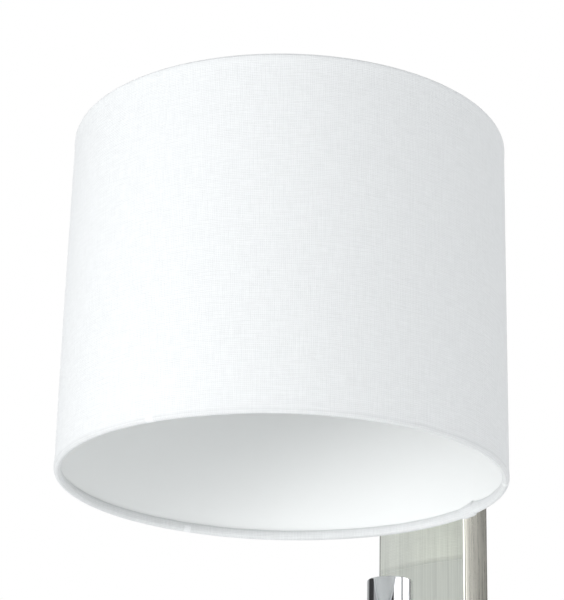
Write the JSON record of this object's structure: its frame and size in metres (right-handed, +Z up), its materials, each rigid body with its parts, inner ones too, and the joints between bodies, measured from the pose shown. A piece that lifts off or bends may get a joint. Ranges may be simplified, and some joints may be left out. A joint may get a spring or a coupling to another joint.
{
  "type": "bedside wall lamp with drum shade and reading light",
  "caption": "Wall lamp: slim polished upright, gallows arm with a white fabric drum shade, and a small chrome reading light that swivels and tilts.",
  "frame": {"origin": "middle of the wall bracket's back face, on the wall plane", "axes": "+Y into the wall, -Y out into the room, +Z up, +X to the right of someone who faces the lamp"},
  "size_m": [0.2, 0.253, 0.36],
  "materials": {
    "white_linen": "fine plain linen weave",
    "shade_laminate": "matt white laminate",
    "white_wire": "white coated wire",
    "white_plastic": "satin moulded",
    "opal": "opal, slightly glossy",
    "satin_nickel": "satin nickel",
    "polished_steel": "mirror polished, faint vertical grain",
    "chrome": "bright chrome",
    "nickel_cap": "bright nickel",
    "zinc_steel": "zinc plated",
    "brass": "plain",
    "bare_aluminium": "turned",
    "black_rubber": "matt",
    "black_plastic": "satin moulded",
    "cable_sleeve": "smooth cable sleeve",
    "clear_acrylic": "clear, polished",
    "phosphor": "yellow LED coating"
  },
  "bodies": {
    "base": {"wall_bracket": "zinc_steel", "cable_grommet": "black_rubber", "terminal_block": "white_plastic", "terminal_screw_neutral": "brass", "terminal_screw_earth": "brass", "terminal_screw_live": "brass", "earth_screw": "brass", "led_driver": "white_plastic", "holder_lead": "cable_sleeve", "driver_lead": "cable_sleeve", "reader_lead": "black_plastic", "main_switch_lead": "black_plastic", "reader_switch_lead": "black_plastic", "housing": "satin_nickel", "housing_screw_top": "zinc_steel", "housing_screw_bottom": "zinc_steel", "plate_gasket": "black_rubber", "front_plate": "polished_steel", "plate_nut_1": "zinc_steel", "plate_nut_2": "zinc_steel", "plate_nut_3": "zinc_steel", "plate_nut_4": "zinc_steel", "arm_tube": "chrome", "arm_flange": "chrome", "arm_washer": "zinc_steel", "arm_nut": "brass", "holder_cap": "white_plastic", "holder_body": "white_plastic", "holder_shell": "brass", "holder_contact": "brass", "shade_clamp_ring": "white_plastic", "bulb_cap": "nickel_cap", "bulb_body": "white_plastic", "bulb_dome": "opal", "shade_cover": "white_linen", "shade_liner": "shade_laminate", "shade_ring_bottom": "white_wire", "shade_carrier": "white_wire", "reader_bush": "chrome", "reader_washer": "zinc_steel", "reader_nut": "brass", "main_switch_body": "black_plastic", "main_switch_collar": "chrome", "reader_switch_body": "black_plastic", "reader_switch_collar": "chrome"},
    "reader_arm": {"reader_stem": "chrome", "reader_clip": "zinc_steel"},
    "reader_head": {"reader_cap": "chrome", "reader_pin": "zinc_steel", "reader_tube": "chrome", "reader_heat_sink": "bare_aluminium", "reader_led_board": "white_plastic", "reader_led": "phosphor", "reader_lens": "clear_acrylic", "reader_bezel": "chrome"},
    "main_button": {"main_switch_button": "chrome"},
    "reader_button": {"reader_switch_button": "chrome"}
  },
  "joints": [
    {"name": "reader_swivel", "type": "hinge", "parent": "base", "child": "reader_arm", "pos_m": [0, -0.03, -0.05], "axis": [0, -1, 0], "range_deg": [-100, 100]},
    {"name": "reader_tilt", "type": "hinge", "parent": "reader_arm", "child": "reader_head", "pos_m": [0, -0.056, -0.05], "axis": [-1, 0, 0], "range_deg": [0, 90]},
    {"name": "main_button_press", "type": "slide", "parent": "base", "child": "main_button", "axis": [0, 1, 0], "range_m": [0, 0.0025], "stiffness_N_per_m": 900, "springref_m": -0.0008},
    {"name": "reader_button_press", "type": "slide", "parent": "base", "child": "reader_button", "axis": [0, 1, 0], "range_m": [0, 0.0025], "stiffness_N_per_m": 900, "springref_m": -0.0008}
  ]
}
